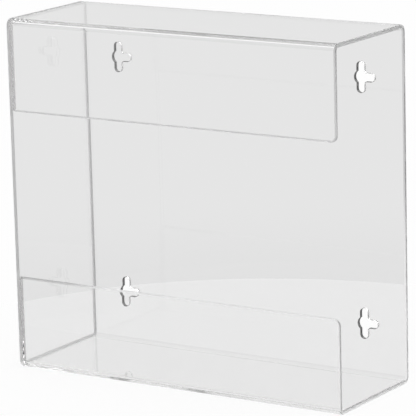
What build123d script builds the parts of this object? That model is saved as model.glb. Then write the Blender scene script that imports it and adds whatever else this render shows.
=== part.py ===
from build123d import *
import os

# Glove box dispenser of clear acrylic sheet, in millimetres.
# Two pieces: one sheet folded into four walls and two front bands, and a flat panel
# cemented over the left end of the fold. The right end stays open, for loading.
# Frame: +X towards the open end, -Y towards the front, +Z up.
# The origin is the centre of the base, at the surface it stands on.

# ---- Overall size
OVERALL_WIDTH = 267.0
OVERALL_DEPTH = 94.5
OVERALL_HEIGHT = 253.0

# ---- Sheet and bends
SHEET_THICKNESS = 3.0
BEND_INSIDE_RADIUS = 2.0
BEND_OUTSIDE_RADIUS = BEND_INSIDE_RADIUS + SHEET_THICKNESS

# ---- Front bands, above and below the window
UPPER_BAND_HEIGHT = 66.0
LOWER_BAND_HEIGHT = 67.0
BAND_CORNER_RADIUS = 5.0

# ---- Polished edges
RIM_ROUNDING = 1.2
PANEL_EDGE_ROUNDING = 0.5

# ---- Keyholes in the back wall: a round hole with three slot arms
KEYHOLE_RADIUS = 5.0
KEYHOLE_ARM_WIDTH = 6.0
KEYHOLE_ARM_REACH = 11.0
KEYHOLE_CLOSED_END_INSET = 31.5
KEYHOLE_OPEN_END_INSET = 34.0
KEYHOLE_BASE_INSET = 39.0
KEYHOLE_TOP_INSET = 39.0

# ---- Planes and edges that the pieces share
CLOSED_END = -OVERALL_WIDTH / 2
OPEN_END = OVERALL_WIDTH / 2
FRONT = -OVERALL_DEPTH / 2
BACK = OVERALL_DEPTH / 2
JOINT_PLANE = CLOSED_END + SHEET_THICKNESS
WINDOW_BOTTOM = LOWER_BAND_HEIGHT
WINDOW_TOP = OVERALL_HEIGHT - UPPER_BAND_HEIGHT
TOLERANCE = 0.01


def folded_profile():
    """Section of the folded sheet: lower band, floor, back, top and upper band."""
    half = SHEET_THICKNESS / 2
    front, back = FRONT + half, BACK - half
    floor, top = half, OVERALL_HEIGHT - half
    route = FilletPolyline(
        (front, WINDOW_BOTTOM),
        (front, floor),
        (back, floor),
        (back, top),
        (front, top),
        (front, WINDOW_TOP),
        radius=BEND_INSIDE_RADIUS + half,
    )
    return Plane.YZ * trace(route, SHEET_THICKNESS)


def keyhole_outline():
    """Round hole with arms up, down and towards the open end, for hanging either way."""
    upright = SlotOverall(2 * KEYHOLE_ARM_REACH, KEYHOLE_ARM_WIDTH, rotation=90)
    side_length = KEYHOLE_ARM_REACH + KEYHOLE_ARM_WIDTH / 2
    side_centre = (KEYHOLE_ARM_REACH - KEYHOLE_ARM_WIDTH / 2) / 2
    side = Pos(side_centre, 0) * SlotOverall(side_length, KEYHOLE_ARM_WIDTH)
    return Circle(KEYHOLE_RADIUS) + upright + side


def keyhole_cutters():
    """Four keyhole cutters through the back wall, one near each of its corners."""
    columns = (CLOSED_END + KEYHOLE_CLOSED_END_INSET, OPEN_END - KEYHOLE_OPEN_END_INSET)
    rows = (KEYHOLE_BASE_INSET, OVERALL_HEIGHT - KEYHOLE_TOP_INSET)
    cutters = []
    for x in columns:
        for z in rows:
            wall = Plane(origin=(x, BACK, z), x_dir=(1, 0, 0), z_dir=(0, -1, 0))
            outline = wall * keyhole_outline()
            cutters.append(extrude(outline, amount=SHEET_THICKNESS, both=True))
    return cutters


def band_corners(shell):
    """The short edges across the sheet where the window meets the open end."""
    across = shell.edges().filter_by(Axis.Y).filter_by_position(Axis.X, OPEN_END, OPEN_END)
    return across.filter_by_position(Axis.Z, WINDOW_BOTTOM, WINDOW_TOP)


def rim_edges(shell):
    """Both long edges of the sheet's free rim, round the open end and along the window."""
    rim = ShapeList()
    for edge in shell.edges():
        middle = edge @ 0.5
        to_window_edge = min(abs(middle.Z - WINDOW_BOTTOM), abs(middle.Z - WINDOW_TOP))
        at_open_end = OPEN_END - middle.X < TOLERANCE
        at_window = to_window_edge < BAND_CORNER_RADIUS
        across_sheet = abs(edge.length - SHEET_THICKNESS) < TOLERANCE
        at_joint = middle.X - JOINT_PLANE < TOLERANCE
        if (at_open_end or at_window) and not (across_sheet or at_joint):
            rim.append(edge)
    return rim


def build_folded_shell():
    """One sheet, folded four times, with the window left open between its free ends."""
    width = OPEN_END - JOINT_PLANE
    shell = Pos(JOINT_PLANE, 0, 0) * extrude(folded_profile(), amount=width)
    shell = fillet(band_corners(shell), BAND_CORNER_RADIUS)
    shell = fillet(rim_edges(shell), RIM_ROUNDING)
    for cutter in keyhole_cutters():
        shell -= cutter
    return shell


def build_end_panel():
    """Flat panel cemented over the fold's left end, with corners that follow the bends."""
    outline = RectangleRounded(OVERALL_DEPTH, OVERALL_HEIGHT, BEND_OUTSIDE_RADIUS)
    centre = (CLOSED_END, 0, OVERALL_HEIGHT / 2)
    outer_plane = Plane(origin=centre, x_dir=(0, 1, 0), z_dir=(1, 0, 0))
    panel = extrude(outer_plane * outline, amount=SHEET_THICKNESS)
    outer_face = panel.faces().sort_by(Axis.X)[0]
    return fillet(outer_face.edges(), PANEL_EDGE_ROUNDING)


def write_step(shape, node):
    """Write one piece to parts/, under the name of its node."""
    shape.label = node
    export_step(shape, os.path.join("parts", node + ".step"))


os.makedirs("parts", exist_ok=True)
write_step(build_folded_shell(), "folded_shell")
write_step(build_end_panel(), "end_panel")
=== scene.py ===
import bisect
import math
from collections import namedtuple

import bmesh
import bpy
from mathutils import Matrix, Vector
from mathutils.geometry import delaunay_2d_cdt


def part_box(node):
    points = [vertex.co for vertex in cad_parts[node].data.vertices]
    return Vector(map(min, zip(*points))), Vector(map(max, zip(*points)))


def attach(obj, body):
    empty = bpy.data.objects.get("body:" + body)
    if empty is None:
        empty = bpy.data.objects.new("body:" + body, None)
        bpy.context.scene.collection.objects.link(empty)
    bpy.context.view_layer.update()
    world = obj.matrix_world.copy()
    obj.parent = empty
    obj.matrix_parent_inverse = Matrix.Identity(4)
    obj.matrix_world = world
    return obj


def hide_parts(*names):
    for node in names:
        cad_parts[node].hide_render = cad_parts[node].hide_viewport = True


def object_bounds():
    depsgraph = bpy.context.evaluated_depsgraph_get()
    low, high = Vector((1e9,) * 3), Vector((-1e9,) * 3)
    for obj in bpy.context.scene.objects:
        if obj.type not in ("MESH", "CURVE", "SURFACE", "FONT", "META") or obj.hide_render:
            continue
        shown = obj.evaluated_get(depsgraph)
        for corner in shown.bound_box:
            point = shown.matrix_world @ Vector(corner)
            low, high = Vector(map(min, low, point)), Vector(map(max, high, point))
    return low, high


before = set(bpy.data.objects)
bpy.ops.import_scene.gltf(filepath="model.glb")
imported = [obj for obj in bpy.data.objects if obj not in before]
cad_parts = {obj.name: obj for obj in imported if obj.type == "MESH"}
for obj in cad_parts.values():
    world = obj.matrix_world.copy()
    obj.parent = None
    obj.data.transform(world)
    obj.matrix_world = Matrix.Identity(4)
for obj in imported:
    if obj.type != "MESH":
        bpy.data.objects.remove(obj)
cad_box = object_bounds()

# Glove box dispenser of clear acrylic sheet, in metres.
# One sheet is folded four times into a lower band, floor, back, top and upper band, and a flat
# panel is cemented over its left end. +X runs to the open end, -Y to the front, +Z up.

bl_info = {
    "name": "Clear Glove Box Dispenser",
    "version": (1, 0, 0),
    "blender": (4, 5, 0),
    "location": "View3D > Sidebar > Dispenser",
    "description": "Builds a folded clear acrylic glove box dispenser and a plain studio round it",
    "category": "Object",
}

SHELL_NODE = "folded_shell"
PANEL_NODE = "end_panel"
MILLIMETRE = 0.001

# Numbers stored on the meshes' faces, which tell the finish what a face is. The cement bead and the end
# panel's edge are frosted and carry painted shade.
CEMENTED = "cemented"
HAZY_AND_PAINTED_SHADE = "hazy_and_painted_shade"
FREE_RIM = "free_rim"
BENT = "bent"
MILLED_WALL = "milled_wall"

# How the meshes are made
SHARP_ANGLE = math.radians(30)
WELD_DISTANCE = 2e-6
FILL_AS_MESH_FACES = 4
FILL_TOLERANCE = 1e-7
LARGE_FACES_FIRST = 100

# Patterns of the finish. A scale is in features for each metre, after any stretch.
WIPE_STRETCH = (30.0, 30.0, 6.0)
WIPE_SCALE = 3.0
WIPE_DETAIL = 4.0
WIPE_RISE = (0.5, 0.8)
GRAIN_SCALE = 300.0
GRAIN_RISE = (0.3, 0.7)
GRAIN_LEAST = 0.85
GRAIN_SPAN = 0.3
RIPPLE_STRETCH = (1.0, 0.25, 1.0)
RIPPLE_SCALE = 700.0

# Where each part of the room fades in, from none to full, as the X, Y or Z part of a unit
# direction. The low shade fades out instead, upwards.
LOW_DOWN = (-0.245, -0.215)
OVERHEAD = (0.5, 0.8)
SIDE_BOX_RIGHT = (0.1, 0.4)
SIDE_BOX_UP = (0.25, 0.5)
BACK_BOX_RIGHT = (-0.45, -0.3)
BACK_BOX_BACK = (0.6, 0.7)
BACK_BOX_UP = (0.3, 0.4)

# The camera's aim, in widths of the dispenser from its closed end and from its base
AIM_ACROSS = 0.6175
AIM_UP = 0.4999

FLOOR_CENTRE = (16 * MILLIMETRE, 13 * MILLIMETRE)
FLOOR_GAP = 0.2 * MILLIMETRE
FLOOR_SEGMENTS = 128
LIGHT_BOUNCES = 64
CLEAR_BOUNCES = 32

low_corner, high_corner = (Vector(corner) for corner in cad_box)
overall = high_corner - low_corner
panel_low, panel_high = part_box(PANEL_NODE)


# ---- What a user can change


def length(name, description, default):
    """A length property in metres."""
    return bpy.props.FloatProperty(
        name=name, description=description, default=default, min=0.0, unit="LENGTH", precision=4
    )


def angle(name, description, degrees):
    """An angle property, shown in degrees."""
    return bpy.props.FloatProperty(
        name=name, description=description, default=math.radians(degrees), subtype="ANGLE"
    )


def amount(name, description, default, highest=1.0):
    """A plain number from nought to its highest value."""
    return bpy.props.FloatProperty(
        name=name, description=description, default=default, min=0.0, max=highest, precision=3
    )


class SheetSizes(bpy.types.PropertyGroup):
    """Sizes of the folded sheet and of the end panel that closes it."""

    width: length("Width", "From the panel's outer face to the open end", overall.x)
    depth: length("Depth", "From the bands' front to the back wall's rear face", overall.y)
    height: length("Height", "From the base to the top", overall.z)
    thickness: length("Sheet Thickness", "Of both sheets", panel_high.x - panel_low.x)
    bend_radius: length("Bend Inside Radius", "Inside radius of the four bends", 2.0 * MILLIMETRE)
    lower_band: length("Lower Band", "Height of the band below the window", 67 * MILLIMETRE)
    upper_band: length("Upper Band", "Height of the band above the window", 66 * MILLIMETRE)
    band_corner: length("Band Corner", "Radius where a band meets the open end", 5 * MILLIMETRE)
    rim_rounding: length("Rim Rounding", "Of the sheet's scraped free edges", 1.2 * MILLIMETRE)
    panel_rounding: length("Panel Rounding", "Of the panel's outer edges", 0.5 * MILLIMETRE)
    keyhole_radius: length("Keyhole Radius", "Of the round hole that a screw head passes", 5 * MILLIMETRE)
    arm_width: length("Arm Width", "Of the keyhole's slot arms", 6 * MILLIMETRE)
    arm_reach: length("Arm Reach", "From the keyhole's centre to an arm's end", 11 * MILLIMETRE)
    closed_end_inset: length("Inset, Closed End", "Keyhole centre to the closed end", 31.5 * MILLIMETRE)
    open_end_inset: length("Inset, Open End", "Keyhole centre to the open end", 34 * MILLIMETRE)
    base_inset: length("Inset, Base", "Keyhole centre to the base", 39 * MILLIMETRE)
    top_inset: length("Inset, Top", "Keyhole centre to the top", 39 * MILLIMETRE)
    bead: length("Cement Bead", "Width of the cement line beside the joint", 1.5 * MILLIMETRE)
    edge_break: length("Keyhole Edge Break", "Chamfer at a keyhole's edges", 0.15 * MILLIMETRE)
    arc_steps: bpy.props.IntProperty(
        name="Arc Steps", description="Facets in a quarter turn of a bend", default=12, min=3, max=48
    )


class SheetFinish(bpy.types.PropertyGroup):
    """Colour, clearness, painted shade and roughness of the clear sheet."""

    colour: bpy.props.FloatVectorProperty(
        name="Colour", description="Tint of the sheet's faces", subtype="COLOR",
        default=(1.0, 1.0, 1.0), min=0.0, max=1.0,
    )
    refraction: bpy.props.FloatProperty(
        name="Refraction", description="Index of refraction", default=1.49, min=1.0, max=2.0
    )
    cement_clearness: amount("Cement Clearness", "Light that one side of the joint lets on", 0.88)
    shadow_clearness: amount("Shadow Clearness", "Light that one face lets on to the floor", 0.99)
    wear: amount("Wear", "Roughness of the wipe marks on the faces", 0.05)
    edge_roughness: amount("Edge Roughness", "Roughness of the scraped edges", 0.55)
    # Painted shade: this tint darkens the scraped edges and cement beads; their haze is the roughness.
    edge_painted_shade: amount("Edge Clearness", "Light that two scraped edges let on", 0.52)
    # Painted light and shade: free edges low down and away from the closed end stay untinted and lighter;
    # higher ones and those near the closed end are tinted darker.
    painted_light_below: length("Clean Below", "Free edges are untinted up to this height", 90 * MILLIMETRE)
    painted_shade_above: length("Dull Above", "Free edges are tinted from this height", 150 * MILLIMETRE)
    painted_shade_within: length("Dull Within", "Low edges this near the closed end are tinted", 40 * MILLIMETRE)
    painted_light_beyond: length("Clean Beyond", "Low edges this far from it are untinted", 80 * MILLIMETRE)
    # A slightly darker tint on the bends.
    bend_clearness: amount("Bend Clearness", "Light that two passes of a heated bend let on", 0.874)
    # Painted shade: this tint makes the keyhole walls nearly black.
    wall_painted_shade: amount("Wall Clearness", "Light that two milled keyhole walls let on", 0.03)
    ripple: amount("Edge Ripple", "Depth of the tool ripple on cut edges, in millimetres", 0.002)


class StudioSetup(bpy.types.PropertyGroup):
    """Camera, floor and light of a plain white studio."""

    azimuth: angle("Azimuth", "Camera's turn from the front towards the open end", 33.113)
    elevation: angle("Elevation", "Camera's height over the horizon", 12.523)
    roll: angle("Roll", "Camera's turn round its own axis", -1.490)
    distance: length("Distance", "From the camera to the point it looks at", 2.02714)
    field_of_view: angle("Field of View", "Across the square picture", 7.9844)
    white: amount("Background White", "Background as the camera sees it", 0.99)
    backdrop: amount("Backdrop", "Grey of the studio as the clear sheet shows it", 0.785)
    low_shade: amount("Low Shade", "Share by which the backdrop is darker low down", 0.045)
    floor_tone: amount("Floor Tone", "Grey of the floor as the clear sheet shows it", 0.82)
    light_level: amount("Light Level", "Light on matt surfaces", 1.0, 4.0)
    ceiling: amount("Ceiling", "Tone of the room above, as the clear sheet shows it", 1.1, 4.0)
    side_box: amount("Side Box", "Brightness of the soft light over the open end", 0.6, 10.0)
    back_box: amount("Back Box", "Brightness of the soft light over the backdrop", 5.0, 20.0)
    floor_radius: length("Floor Radius", "Of the round floor", 0.28)


# ---- Shader expressions


class Value:
    """A shader number. Python expressions on it add Math nodes to its tree."""

    def __init__(self, tree, socket):
        self.tree = tree
        self.socket = socket

    def __add__(self, other):
        return self.tree.math("ADD", self, other)

    def __sub__(self, other):
        return self.tree.math("SUBTRACT", self, other)

    def __rsub__(self, other):
        return self.tree.math("SUBTRACT", other, self)

    def __mul__(self, other):
        return self.tree.math("MULTIPLY", self, other)

    __radd__ = __add__
    __rmul__ = __mul__

    def rise(self, low, high):
        """Smooth step from 0 at low to 1 at high."""
        settings = {"interpolation_type": "SMOOTHSTEP"}
        inputs = {"Value": self, "From Min": low, "From Max": high}
        return self.tree.value("ShaderNodeMapRange", settings, inputs, "Result")


class ShaderTree:
    """The node tree of one material or world."""

    def __init__(self, owner):
        owner.use_nodes = True
        self.nodes = owner.node_tree.nodes
        self.links = owner.node_tree.links
        self.nodes.clear()

    def add(self, kind, settings=None, inputs=None):
        """Adds a node, with its settings first and then its sockets' values or links."""
        node = self.nodes.new(kind)
        for name, setting in (settings or {}).items():
            setattr(node, name, setting)
        for key, given in (inputs or {}).items():
            given = given.socket if isinstance(given, Value) else given
            if isinstance(given, bpy.types.NodeSocket):
                self.links.new(given, node.inputs[key])
            else:
                node.inputs[key].default_value = given
        return node

    def value(self, kind, settings, inputs, output):
        """One number output of a new node."""
        return Value(self, self.add(kind, settings, inputs).outputs[output])

    def math(self, operation, first, second):
        """A Math node on two numbers."""
        return self.value("ShaderNodeMath", {"operation": operation}, {0: first, 1: second}, 0)

    def ray(self, kind):
        """1 for light rays of this kind."""
        return self.value("ShaderNodeLightPath", {}, {}, kind)

    def mask(self, name):
        """A number stored on the mesh's faces."""
        return self.value("ShaderNodeAttribute", {"attribute_name": name}, {}, "Fac")

    def noise(self, place, scale, detail=2.0):
        """Noise from 0 to 1 at a place."""
        inputs = {"Vector": place, "Scale": scale, "Detail": detail}
        return self.value("ShaderNodeTexNoise", {}, inputs, 0)

    def stretched(self, place, scale):
        """A place with its axes scaled."""
        inputs = {0: place, 1: scale}
        return self.add("ShaderNodeVectorMath", {"operation": "MULTIPLY"}, inputs).outputs[0]

    def blend(self, factor, first, second):
        """A mix of two colours."""
        settings = {"data_type": "RGBA"}
        return self.add("ShaderNodeMix", settings, {0: factor, 6: first, 7: second}).outputs[2]

    def mixed(self, factor, first, second):
        """A mix of two shaders."""
        return self.add("ShaderNodeMixShader", {}, {0: factor, 1: first, 2: second}).outputs[0]


# ---- The sheet, laid out flat and folded


Station = namedtuple("Station", "run point outward")


def outward_of(direction):
    """The side of the fold's middle line that faces out of the box."""
    return Vector((direction.y, -direction.x))


def fold_stations(sizes):
    """Points of the sheet's middle line in (y, z), from the lower band's free edge to the upper
    band's, with the run along the line and the outward direction. A bend gets a fan of them."""
    half = sizes.thickness / 2
    front, back = half - sizes.depth / 2, sizes.depth / 2 - half
    floor, top = half, sizes.height - half
    corners = [
        Vector((front, sizes.lower_band)),
        Vector((front, floor)),
        Vector((back, floor)),
        Vector((back, top)),
        Vector((front, top)),
        Vector((front, sizes.height - sizes.upper_band)),
    ]
    radius = sizes.bend_radius + half
    stations = [Station(0.0, corners[0], outward_of((corners[1] - corners[0]).normalized()))]
    for before, corner, after in zip(corners, corners[1:], corners[2:]):
        arriving = (corner - before).normalized()
        leaving = (after - corner).normalized()
        start = corner - arriving * radius
        centre = start + leaving * radius
        run = stations[-1].run + (start - stations[-1].point).length
        for step in range(sizes.arc_steps + 1):
            turn = math.pi / 2 * step / sizes.arc_steps
            outward = outward_of(arriving * math.cos(turn) + leaving * math.sin(turn))
            stations.append(Station(run + radius * turn, centre + outward * radius, outward))
    last = stations[-1]
    run = last.run + (corners[-1] - last.point).length
    stations.append(Station(run, corners[-1], last.outward))
    return stations


class Fold:
    """The folded sheet's form. Flat places are (x, run); depth is measured outward from the
    middle of the sheet."""

    def __init__(self, sizes):
        self.sizes = sizes
        self.half = sizes.thickness / 2
        self.closed_end = -sizes.width / 2
        self.joint = self.closed_end + sizes.thickness
        self.beside_joint = self.joint + sizes.bead
        self.open_end = sizes.width / 2
        self.stations = fold_stations(sizes)
        self.runs = [station.run for station in self.stations]
        self.total = self.runs[-1]
        self.bend_runs = self.runs[1:-1]
        fan = sizes.arc_steps + 1
        bend_starts, bend_ends = self.bend_runs[::fan], self.bend_runs[fan - 1 :: fan]
        self.bend_spans = list(zip(bend_starts, bend_ends))

    def place(self, x, run, depth):
        """A point of the folded sheet in space."""
        index = min(max(bisect.bisect_right(self.runs, run) - 1, 0), len(self.runs) - 2)
        before, after = self.stations[index], self.stations[index + 1]
        share = (run - before.run) / (after.run - before.run)
        point = before.point.lerp(after.point, share)
        outward = before.outward.lerp(after.outward, share).normalized()
        point = point + outward * depth
        return Vector((x, point.x, point.y))

    def back_run(self, height):
        """The run at a height of the back wall."""
        after_second_bend = 2 * (self.sizes.arc_steps + 1)
        start = self.stations[after_second_bend]
        return start.run + height - start.point.y

    def rim_line(self):
        """The sheet's free edge laid flat, from the joint round the open end and back to the
        joint, as ((x, run), inward direction)."""
        corner = self.sizes.band_corner
        line = [(Vector((x, 0)), Vector((0, 1))) for x in (self.joint, self.beside_joint)]
        line += corner_fan(Vector((self.open_end - corner, corner)), corner, -90, self.sizes.arc_steps)
        for run in self.bend_runs:
            line.append((Vector((self.open_end, run)), Vector((-1, 0))))
        centre = Vector((self.open_end - corner, self.total - corner))
        line += corner_fan(centre, corner, 0, self.sizes.arc_steps)
        for x in (self.beside_joint, self.joint):
            line.append((Vector((x, self.total)), Vector((0, -1))))
        return line

    def rim_section(self):
        """The free edge's rounded section, from the outer skin to the inner one, as (inset from
        the edge, depth)."""
        section = rounded_section(self.sizes.rim_rounding, self.half, self.sizes.arc_steps // 2)
        return section + [(inset, -depth) for inset, depth in reversed(section)]

    def joint_runs(self):
        """Runs along the joint, from one free edge's rounding to the other's."""
        rounding = self.sizes.rim_rounding
        return [rounding] + self.bend_runs + [self.total - rounding]


def corner_fan(centre, radius, start_degrees, steps):
    """A quarter turn of a rounded corner, as (point, inward direction)."""
    fan = []
    for step in range(steps + 1):
        turn = math.radians(start_degrees + 90 * step / steps)
        outward = Vector((math.cos(turn), math.sin(turn)))
        fan.append((centre + outward * radius, -outward))
    return fan


def rounded_section(radius, half, steps):
    """Quarter round from a face's skin to its edge, as (inset, depth)."""
    section = []
    for step in range(steps + 1):
        turn = math.pi / 2 * step / steps
        section.append((radius * (1 - math.sin(turn)), half - radius * (1 - math.cos(turn))))
    return section


def keyhole_outline(sizes, grow):
    """Round hole with arms towards the open end, up and down, grown a little all round, as
    offsets from its centre."""
    radius = sizes.keyhole_radius + grow
    half_arm = sizes.arm_width / 2 + grow
    arm_centre = sizes.arm_reach + grow - half_arm
    mouth = math.asin(half_arm / radius)
    arms = [0.0, math.pi / 2, 3 * math.pi / 2]
    outline = []
    for arm, following in zip(arms, arms[1:] + [2 * math.pi]):
        along = Vector((math.cos(arm), math.sin(arm)))
        across = Vector((-along.y, along.x))
        for step in range(sizes.arc_steps + 1):
            turn = math.pi * step / sizes.arc_steps - math.pi / 2
            tip = along * (arm_centre + half_arm * math.cos(turn))
            outline.append(tip + across * half_arm * math.sin(turn))
        first, last = arm + mouth, following - mouth
        steps = max(2, round((last - first) / math.pi * sizes.arc_steps))
        for step in range(steps + 1):
            turn = first + (last - first) * step / steps
            outline.append(Vector((math.cos(turn), math.sin(turn))) * radius)
    return outline


def keyhole_places(fold):
    """Flat places of the four keyholes' centres on the back wall."""
    sizes = fold.sizes
    columns = (fold.closed_end + sizes.closed_end_inset, fold.open_end - sizes.open_end_inset)
    heights = (sizes.base_inset, sizes.height - sizes.top_inset)
    return [Vector((x, fold.back_run(z))) for x in columns for z in heights]


# ---- Meshes


def new_sheet_mesh():
    """An empty mesh with the face numbers that the sheet's finish reads."""
    mesh = bmesh.new()
    for name in (CEMENTED, HAZY_AND_PAINTED_SHADE, FREE_RIM, BENT, MILLED_WALL):
        mesh.faces.layers.float.new(name)
    return mesh


def add_face(mesh, corners, mask=None):
    """One face with its own corners, marked for the finish."""
    face = mesh.faces.new([mesh.verts.new(corner) for corner in corners])
    face.smooth = True
    if mask:
        face[mesh.faces.layers.float[mask]] = 1.0


def add_strip(mesh, first, second, mask, closed=False):
    """Quads between two rows of as many points."""
    count = len(first)
    for index in range(count if closed else count - 1):
        following = (index + 1) % count
        corners = (first[index], first[following], second[following], second[index])
        add_face(mesh, corners, mask)


def fill_flat(points, loops, lines=()):
    """Fills the first of some flat loops, split by the other loops and by lines, as the corners
    of each face with the loops that it lies in."""
    filled = delaunay_2d_cdt(points, list(lines), loops, FILL_AS_MESH_FACES, FILL_TOLERANCE)
    flat, _, faces, _, _, inside = filled
    return [([flat[index] for index in face], within) for face, within in zip(faces, inside)]


def finish_mesh(mesh, name):
    """Welds the faces into one closed skin and makes its object."""
    bmesh.ops.remove_doubles(mesh, verts=mesh.verts, dist=WELD_DISTANCE)
    bmesh.ops.recalc_face_normals(mesh, faces=mesh.faces)
    open_edges = [edge for edge in mesh.edges if not edge.is_manifold]
    if open_edges:
        raise RuntimeError(f"{name} has {len(open_edges)} open edges")
    for edge in mesh.edges:
        edge.smooth = edge.calc_face_angle() < SHARP_ANGLE
    data = bpy.data.meshes.new(name)
    mesh.to_mesh(data)
    mesh.free()
    piece = bpy.data.objects.new(name, data)
    bpy.context.scene.collection.objects.link(piece)
    normals = piece.modifiers.new("Flat Faces Stay Flat", "WEIGHTED_NORMAL")
    normals.weight = LARGE_FACES_FIRST
    normals.keep_sharp = True
    return piece


def add_skins(mesh, fold):
    """The sheet's outer and inner faces, with its bends and its keyholes."""
    sizes = fold.sizes
    outline = [point + inward * sizes.rim_rounding for point, inward in fold.rim_line()]
    outline += [Vector((fold.joint, run)) for run in reversed(fold.bend_runs)]
    points = list(outline)
    loops = [list(range(len(outline)))]
    for centre in keyhole_places(fold):
        first = len(points)
        points += [centre + offset for offset in keyhole_outline(sizes, sizes.edge_break)]
        loops.append(list(range(first, len(points))))
    far = fold.open_end - sizes.rim_rounding
    ends = [(Vector((fold.joint, run)), Vector((far, run))) for run in fold.bend_runs]
    last = fold.total - sizes.rim_rounding
    ends.append((Vector((fold.beside_joint, sizes.rim_rounding)), Vector((fold.beside_joint, last))))
    lines = []
    for start, end in ends:
        lines.append((len(points), len(points) + 1))
        points += [start, end]
    for corners, within in fill_flat(points, loops, lines):
        if within != [0]:
            continue
        middle = sum(corners, Vector((0, 0))) / len(corners)
        in_bead = middle.x < fold.beside_joint
        in_bend = any(start < middle.y < end for start, end in fold.bend_spans)
        mask = HAZY_AND_PAINTED_SHADE if in_bead else BENT if in_bend else None
        add_face(mesh, [fold.place(flat.x, flat.y, fold.half) for flat in corners])
        add_face(mesh, [fold.place(flat.x, flat.y, -fold.half) for flat in corners], mask)


def add_rim(mesh, fold):
    """The scraped free edge, rounded from skin to skin."""
    rows = []
    for inset, depth in fold.rim_section():
        flat = [point + inward * inset for point, inward in fold.rim_line()]
        rows.append([fold.place(place.x, place.y, depth) for place in flat])
    for first, second in zip(rows, rows[1:]):
        add_strip(mesh, first, second, FREE_RIM)


def add_joint_end(mesh, fold):
    """The sheet's cemented end: its whole section in the joint plane."""
    runs = fold.joint_runs()
    outer = [fold.place(fold.joint, run, fold.half) for run in runs]
    inner = [fold.place(fold.joint, run, -fold.half) for run in runs]
    add_strip(mesh, outer, inner, CEMENTED)
    for edge, inward in ((0.0, 1), (fold.total, -1)):
        section = [(edge + inward * inset, depth) for inset, depth in fold.rim_section()]
        add_face(mesh, [fold.place(fold.joint, run, depth) for run, depth in section], CEMENTED)


def add_keyhole_walls(mesh, fold):
    """The keyholes' walls, with a fine chamfer at both faces of the sheet."""
    sizes = fold.sizes
    wall = fold.half - sizes.edge_break
    rows = ((sizes.edge_break, fold.half), (0.0, wall), (0.0, -wall), (sizes.edge_break, -fold.half))
    for centre in keyhole_places(fold):
        loops = []
        for grow, depth in rows:
            flat = [centre + offset for offset in keyhole_outline(sizes, grow)]
            loops.append([fold.place(place.x, place.y, depth) for place in flat])
        for first, second in zip(loops, loops[1:]):
            add_strip(mesh, first, second, MILLED_WALL, closed=True)


def panel_loop(fold, x, inset):
    """The end panel's outline, which follows the fold's outer skin."""
    runs = [0.0] + fold.joint_runs() + [fold.total]
    return [fold.place(x, run, fold.half - inset) for run in runs]


def add_panel_inner_face(mesh, fold):
    """The panel's inner face, split where the folded sheet's end is cemented to it, and along
    the cement bead beside that."""
    outline = [Vector((point.y, point.z)) for point in panel_loop(fold, fold.joint, 0.0)]
    runs = fold.joint_runs()
    section = [(run, fold.half) for run in runs]
    section += [(fold.total - inset, depth) for inset, depth in fold.rim_section()[1:-1]]
    section += [(run, -fold.half) for run in reversed(runs)]
    section += [(inset, depth) for inset, depth in reversed(fold.rim_section()[1:-1])]
    places = [fold.place(fold.joint, run, depth) for run, depth in section]
    points = outline + [Vector((place.y, place.z)) for place in places]
    loops = [list(range(len(outline))), list(range(len(outline), len(points)))]
    first = len(points)
    bead_edge = fold.half + fold.sizes.bead
    bead = [(run, -fold.half) for run in runs] + [(run, -bead_edge) for run in reversed(runs)]
    for run, depth in bead:
        place = fold.place(fold.joint, run, depth)
        points.append(Vector((place.y, place.z)))
    loops.append(list(range(first, len(points))))
    for corners, within in fill_flat(points, loops):
        mask = CEMENTED if 1 in within else HAZY_AND_PAINTED_SHADE if 2 in within else None
        add_face(mesh, [Vector((fold.joint, flat.x, flat.y)) for flat in corners], mask)


def add_panel_rim(mesh, fold):
    """The panel's edge, rounded towards its outer face, and that face."""
    sizes = fold.sizes
    section = reversed(rounded_section(sizes.panel_rounding, sizes.thickness, sizes.arc_steps // 3))
    rows = [panel_loop(fold, fold.joint, 0.0)]
    for inset, depth in section:
        rows.append(panel_loop(fold, fold.joint - depth, inset))
    for first, second in zip(rows, rows[1:]):
        add_strip(mesh, first, second, HAZY_AND_PAINTED_SHADE, closed=True)
    add_face(mesh, rows[-1])


# ---- Finish


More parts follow.
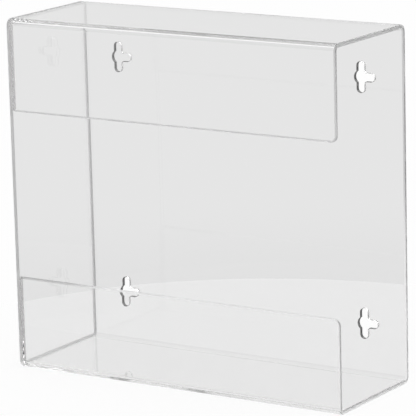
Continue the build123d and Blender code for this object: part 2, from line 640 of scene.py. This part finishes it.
def clear_sheet(finish):
    """Clear acrylic: polished faces with faint wipe marks, bends tinted a little darker, frosted scraped
    edges and cement beads with painted shade on them, left lighter as painted light on free edges low
    down and away from the closed end, milled keyhole walls tinted nearly black as painted shade, and a
    cemented joint that light passes straight through."""
    material = bpy.data.materials.get("clear_sheet_finish")
    material = material or bpy.data.materials.new("clear_sheet_finish")
    tree = ShaderTree(material)
    place = tree.add("ShaderNodeTexCoord").outputs["Object"]
    parts = tree.add("ShaderNodeSeparateXYZ", {}, {0: place}).outputs
    # Painted light: free edges low down and away from the closed end are left untinted, lighter than the
    # rest.
    low = 1 - Value(tree, parts["Z"]).rise(finish.painted_light_below, finish.painted_shade_above)
    from_end = Value(tree, parts["X"]) - low_corner.x
    painted_light_low = low * from_end.rise(finish.painted_shade_within, finish.painted_light_beyond)
    hazy_and_painted_shade, free_rim, milled = tree.mask(HAZY_AND_PAINTED_SHADE), tree.mask(FREE_RIM), tree.mask(MILLED_WALL)
    cut = hazy_and_painted_shade + free_rim + milled
    painted_edge_shade = hazy_and_painted_shade + free_rim * (1 - painted_light_low)

    wipes = tree.noise(tree.stretched(place, WIPE_STRETCH), WIPE_SCALE, WIPE_DETAIL)
    worn = wipes.rise(*WIPE_RISE) * finish.wear
    grain = GRAIN_LEAST + GRAIN_SPAN * tree.noise(place, GRAIN_SCALE).rise(*GRAIN_RISE)
    roughness = (1 - cut) * worn + cut * finish.edge_roughness * grain
    # Base colour: the bends get a slightly darker tint.
    tint = tree.blend(tree.mask(BENT), (*finish.colour, 1.0), grey_of(finish.bend_clearness))
    # Painted shade on the cement beads, the panel's edge and the free edges.
    tint = tree.blend(painted_edge_shade, tint, grey_of(finish.edge_painted_shade))
    # Painted shade: the keyhole walls are tinted nearly black.
    tint = tree.blend(milled, tint, grey_of(finish.wall_painted_shade))
    ripple = tree.noise(tree.stretched(place, RIPPLE_STRETCH), RIPPLE_SCALE) * cut
    bumped = tree.add(
        "ShaderNodeBump",
        {},
        {"Strength": 1.0, "Distance": finish.ripple * MILLIMETRE, "Height": ripple},
    ).outputs[0]

    sheet = tree.add(
        "ShaderNodeBsdfPrincipled",
        {},
        {
            "Base Color": tint,
            "Roughness": roughness,
            "IOR": finish.refraction,
            "Transmission Weight": 1.0,
            "Normal": bumped,
        },
    ).outputs[0]
    passing = grey_of(finish.shadow_clearness)
    open_to_light = tree.add("ShaderNodeBsdfTransparent", {}, {"Color": passing}).outputs[0]
    cement = tree.add(
        "ShaderNodeBsdfTransparent", {}, {"Color": grey_of(finish.cement_clearness)}
    ).outputs[0]
    lamps = tree.mixed(tree.ray("Is Shadow Ray"), sheet, open_to_light)
    matt = tree.mixed(tree.ray("Is Diffuse Ray"), lamps, open_to_light)
    surface = tree.mixed(tree.mask(CEMENTED), matt, cement)
    tree.add("ShaderNodeOutputMaterial", {}, {"Surface": surface})
    return material


def grey_of(level):
    """A neutral colour."""
    return (level, level, level, 1.0)


# ---- Studio


def place_camera(studio):
    """The camera, to the right of the front and a little above."""
    scene = bpy.context.scene
    back = Vector(
        (
            math.sin(studio.azimuth) * math.cos(studio.elevation),
            -math.cos(studio.azimuth) * math.cos(studio.elevation),
            math.sin(studio.elevation),
        )
    )
    level = back.cross(Vector((0, 0, 1))).normalized() * -1
    upright = back.cross(level)
    right = level * math.cos(studio.roll) + upright * math.sin(studio.roll)
    up = upright * math.cos(studio.roll) - level * math.sin(studio.roll)
    across = low_corner.x + AIM_ACROSS * overall.x
    target = Vector((across, low_corner.y, AIM_UP * overall.x))
    lens = bpy.data.cameras.new("Camera")
    lens.angle = studio.field_of_view
    camera = bpy.data.objects.new("Camera", lens)
    scene.collection.objects.link(camera)
    turned = Matrix((right, up, back)).transposed().to_4x4()
    turned.translation = target + back * studio.distance
    camera.matrix_world = turned
    scene.camera = camera


def lay_floor(studio):
    """A round pale floor that keeps the object's shadow. The clear sheet shows it as a grey."""
    outline = bmesh.new()
    bmesh.ops.create_circle(outline, cap_ends=True, segments=FLOOR_SEGMENTS, radius=studio.floor_radius)
    data = bpy.data.meshes.new("floor")
    outline.to_mesh(data)
    outline.free()
    floor = bpy.data.objects.new("floor", data)
    floor.location = (*FLOOR_CENTRE, -FLOOR_GAP)
    bpy.context.scene.collection.objects.link(floor)
    material = bpy.data.materials.new("pale_floor")
    data.materials.append(material)
    tree = ShaderTree(material)
    white = tree.add("ShaderNodeBsdfDiffuse", {}, {"Color": grey_of(studio.white)}).outputs[0]
    grey = tree.add("ShaderNodeBsdfDiffuse", {}, {"Color": grey_of(studio.floor_tone)}).outputs[0]
    seen = tree.mixed(tree.ray("Is Camera Ray"), grey, white)
    tree.add("ShaderNodeOutputMaterial", {}, {"Surface": seen})


def light_room(studio):
    """A soft even world. The camera sees plain white; the clear sheet shows and mirrors a grey
    room with two soft lights, one over the open end and one over the backdrop."""
    world = bpy.data.worlds.new("Studio")
    bpy.context.scene.world = world
    tree = ShaderTree(world)
    direction = tree.add("ShaderNodeTexCoord").outputs["Generated"]
    parts = tree.add("ShaderNodeSeparateXYZ", {}, {0: direction}).outputs
    toward_right, toward_back, toward_up = (Value(tree, part) for part in parts)
    low_down = 1 - toward_up.rise(*LOW_DOWN)
    above = toward_up.rise(*OVERHEAD)
    side_box = toward_right.rise(*SIDE_BOX_RIGHT) * toward_up.rise(*SIDE_BOX_UP)
    behind = toward_right.rise(*BACK_BOX_RIGHT) * toward_back.rise(*BACK_BOX_BACK)
    back_box = behind * toward_up.rise(*BACK_BOX_UP)
    walls = studio.backdrop * (1 - studio.low_shade * low_down)
    room = walls * (1 - above) + studio.ceiling * above
    room = room + studio.side_box * side_box + studio.back_box * back_box
    seen_in_sheet = tree.math("MAXIMUM", tree.ray("Is Glossy Ray"), tree.ray("Is Transmission Ray"))
    even = tree.add("ShaderNodeBackground", {}, {"Strength": studio.light_level}).outputs[0]
    shown = tree.add("ShaderNodeBackground", {}, {"Color": grey_of(1.0), "Strength": room}).outputs[0]
    white = tree.add("ShaderNodeBackground", {}, {"Strength": studio.white}).outputs[0]
    for background in (even, white):
        background.node.inputs["Color"].default_value = grey_of(1.0)
    lit = tree.mixed(seen_in_sheet, even, shown)
    tree.add(
        "ShaderNodeOutputWorld", {}, {"Surface": tree.mixed(tree.ray("Is Camera Ray"), lit, white)}
    )


# ---- Operators


def hand_over(piece, node, context):
    """Gives a new piece its finish and its body, and hides the CAD node that it stands for."""
    piece.data.materials.append(clear_sheet(context.scene.dispenser_finish))
    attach(piece, "root")
    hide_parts(node)


class BuildFoldedSheet(bpy.types.Operator):
    """Build the folded sheet with its bands, bends, scraped rim and keyholes"""

    bl_idname = "dispenser.build_folded_sheet"
    bl_label = "Build Folded Sheet"

    def execute(self, context):
        fold = Fold(context.scene.dispenser_sizes)
        mesh = new_sheet_mesh()
        add_skins(mesh, fold)
        add_rim(mesh, fold)
        add_joint_end(mesh, fold)
        add_keyhole_walls(mesh, fold)
        hand_over(finish_mesh(mesh, "folded_sheet"), SHELL_NODE, context)
        return {"FINISHED"}


class BuildEndSheet(bpy.types.Operator):
    """Build the flat panel that closes the left end"""

    bl_idname = "dispenser.build_end_sheet"
    bl_label = "Build End Panel"

    def execute(self, context):
        fold = Fold(context.scene.dispenser_sizes)
        mesh = new_sheet_mesh()
        add_panel_inner_face(mesh, fold)
        add_panel_rim(mesh, fold)
        hand_over(finish_mesh(mesh, "end_sheet"), PANEL_NODE, context)
        return {"FINISHED"}


class SetStudio(bpy.types.Operator):
    """Set up the camera, the pale floor and the soft light"""

    bl_idname = "dispenser.set_studio"
    bl_label = "Set Up Studio"

    def execute(self, context):
        studio = context.scene.dispenser_studio
        scene = context.scene
        scene.view_settings.view_transform = "Standard"
        scene.cycles.max_bounces = LIGHT_BOUNCES
        scene.cycles.transmission_bounces = LIGHT_BOUNCES
        scene.cycles.glossy_bounces = LIGHT_BOUNCES
        scene.cycles.transparent_max_bounces = CLEAR_BOUNCES
        place_camera(studio)
        lay_floor(studio)
        light_room(studio)
        return {"FINISHED"}


class DispenserPanel(bpy.types.Panel):
    """Sizes, finish and studio of the dispenser"""

    bl_idname = "VIEW3D_PT_dispenser"
    bl_label = "Glove Box Dispenser"
    bl_space_type = "VIEW_3D"
    bl_region_type = "UI"
    bl_category = "Dispenser"

    def draw(self, context):
        for group in (
            context.scene.dispenser_sizes,
            context.scene.dispenser_finish,
            context.scene.dispenser_studio,
        ):
            box = self.layout.box()
            for name in group.bl_rna.properties.keys():
                if name not in ("rna_type", "name"):
                    box.prop(group, name)
        for operator in (BuildFoldedSheet, BuildEndSheet, SetStudio):
            self.layout.operator(operator.bl_idname)


classes = (
    SheetSizes,
    SheetFinish,
    StudioSetup,
    BuildFoldedSheet,
    BuildEndSheet,
    SetStudio,
    DispenserPanel,
)


def register():
    for cls in classes:
        bpy.utils.register_class(cls)
    bpy.types.Scene.dispenser_sizes = bpy.props.PointerProperty(type=SheetSizes)
    bpy.types.Scene.dispenser_finish = bpy.props.PointerProperty(type=SheetFinish)
    bpy.types.Scene.dispenser_studio = bpy.props.PointerProperty(type=StudioSetup)


def unregister():
    del bpy.types.Scene.dispenser_studio
    del bpy.types.Scene.dispenser_finish
    del bpy.types.Scene.dispenser_sizes
    for cls in reversed(classes):
        bpy.utils.unregister_class(cls)


def main():
    """Builds the dispenser in its studio."""
    register()
    bpy.ops.dispenser.set_studio()
    bpy.ops.dispenser.build_folded_sheet()
    bpy.ops.dispenser.build_end_sheet()


if __name__ == "__main__":
    main()
